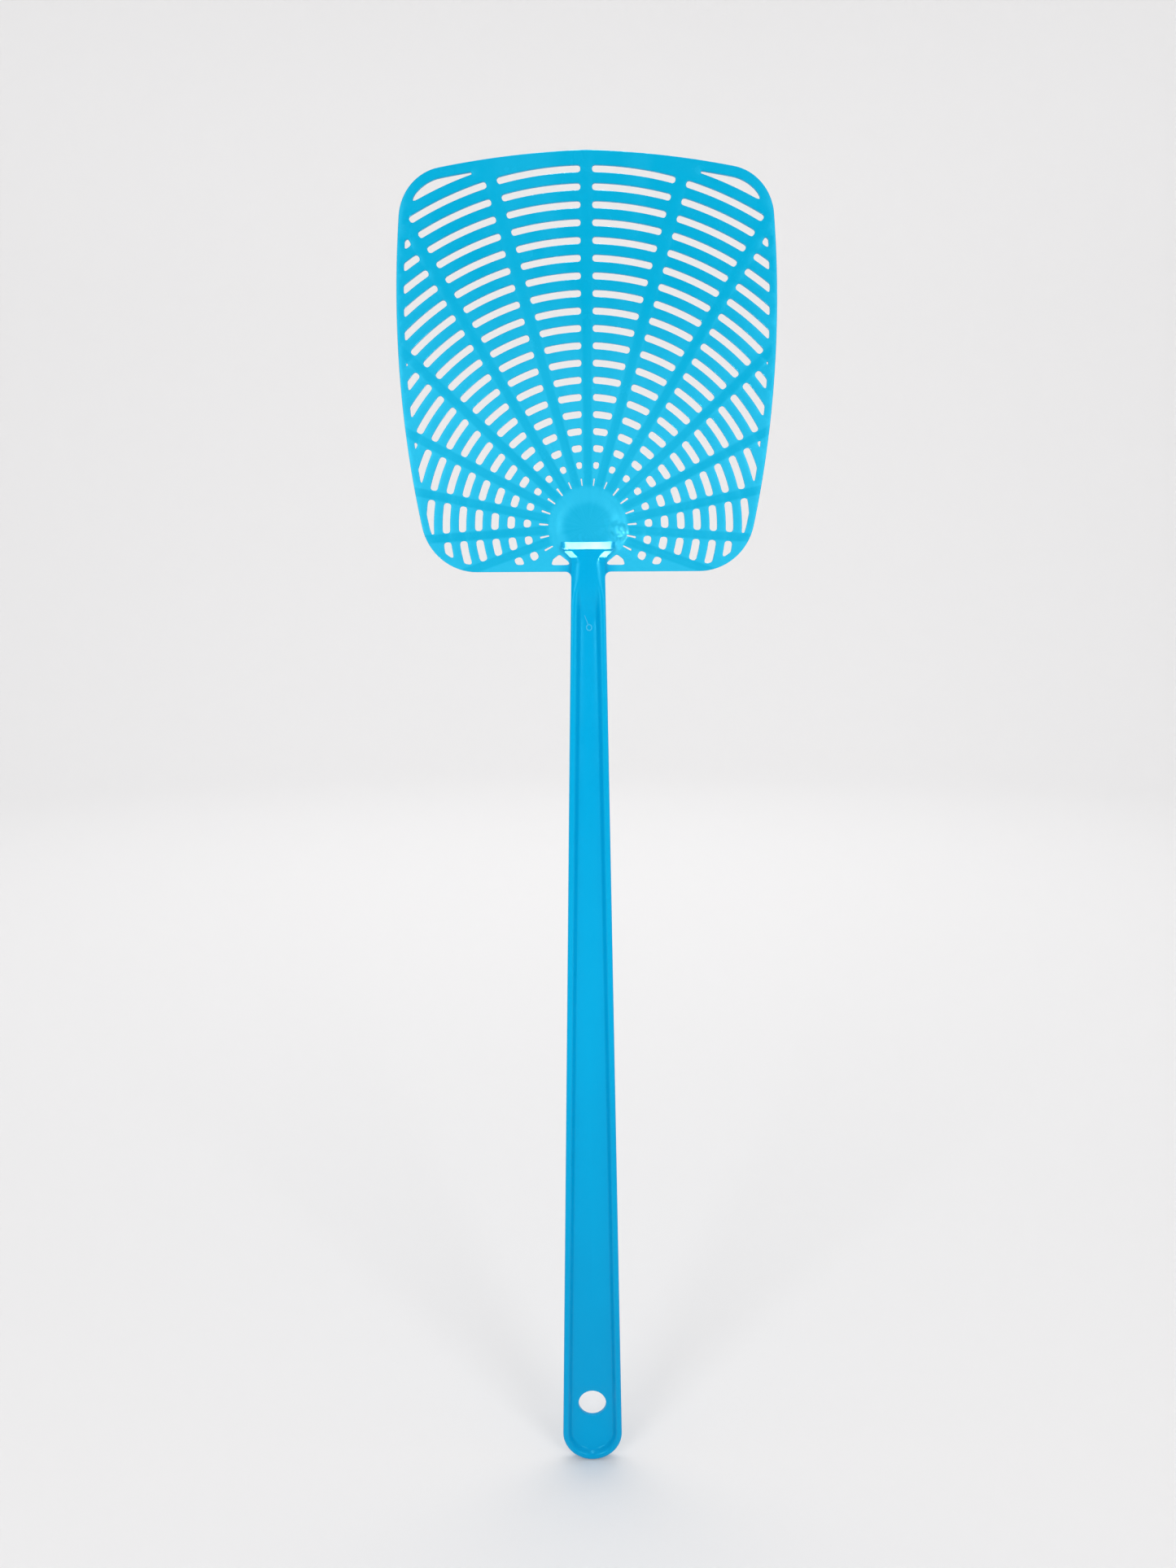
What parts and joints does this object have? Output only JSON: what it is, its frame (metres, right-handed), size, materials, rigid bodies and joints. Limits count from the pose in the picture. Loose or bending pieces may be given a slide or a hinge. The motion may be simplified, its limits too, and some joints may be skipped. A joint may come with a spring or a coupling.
{
  "type": "fly swatter",
  "caption": "One-piece moulded plastic fly swatter: slotted head with spokes and ring bars, flexing neck, channel handle with a hanging hole.",
  "frame": {"origin": "axis of the hanging hole, on the flat back face of the handle", "axes": "+Z along the handle from the hanging hole to the head, -Y out of the front face, +X to the right seen from the front"},
  "size_m": [0.1144, 0.0036, 0.4277],
  "materials": {
    "head_plastic": "smooth moulded polypropylene, slightly translucent, soft gloss",
    "handle_plastic": "smooth moulded polypropylene, thicker and a little darker, soft gloss"
  },
  "bodies": {
    "handle": {"neck_strip": "handle_plastic", "handle_floor": "handle_plastic", "left_rail": "handle_plastic", "right_rail": "handle_plastic", "end_rail": "handle_plastic"},
    "head": {"head_rim": "head_plastic", "hub_disc": "head_plastic", "hub_collar": "head_plastic", "neck_plate": "head_plastic", "neck_ramp": "handle_plastic", "spoke_left_7": "head_plastic", "spoke_left_6": "head_plastic", "spoke_left_5": "head_plastic", "spoke_left_4": "head_plastic", "spoke_left_3": "head_plastic", "spoke_left_2": "head_plastic", "spoke_left_1": "head_plastic", "spoke_centre": "head_plastic", "spoke_right_1": "head_plastic", "spoke_right_2": "head_plastic", "spoke_right_3": "head_plastic", "spoke_right_4": "head_plastic", "spoke_right_5": "head_plastic", "spoke_right_6": "head_plastic", "spoke_right_7": "head_plastic", "ring_01": "head_plastic", "ring_02": "head_plastic", "ring_03": "head_plastic", "ring_04": "head_plastic", "ring_05": "head_plastic", "ring_06": "head_plastic", "ring_07": "head_plastic", "ring_08": "head_plastic", "ring_09": "head_plastic", "ring_10": "head_plastic", "ring_11": "head_plastic", "ring_12": "head_plastic", "ring_13": "head_plastic", "ring_14": "head_plastic", "ring_15": "head_plastic", "ring_16": "head_plastic", "ring_17": "head_plastic", "ring_18": "head_plastic"}
  },
  "joints": [
    {"name": "neck_flex", "type": "hinge", "parent": "handle", "child": "head", "pos_m": [0, -0.0012, 0.26], "axis": [1, 0, 0], "range_deg": [-25, 25], "stiffness_Nm_per_rad": 0.3, "deforming": ["neck_strip"]}
  ]
}
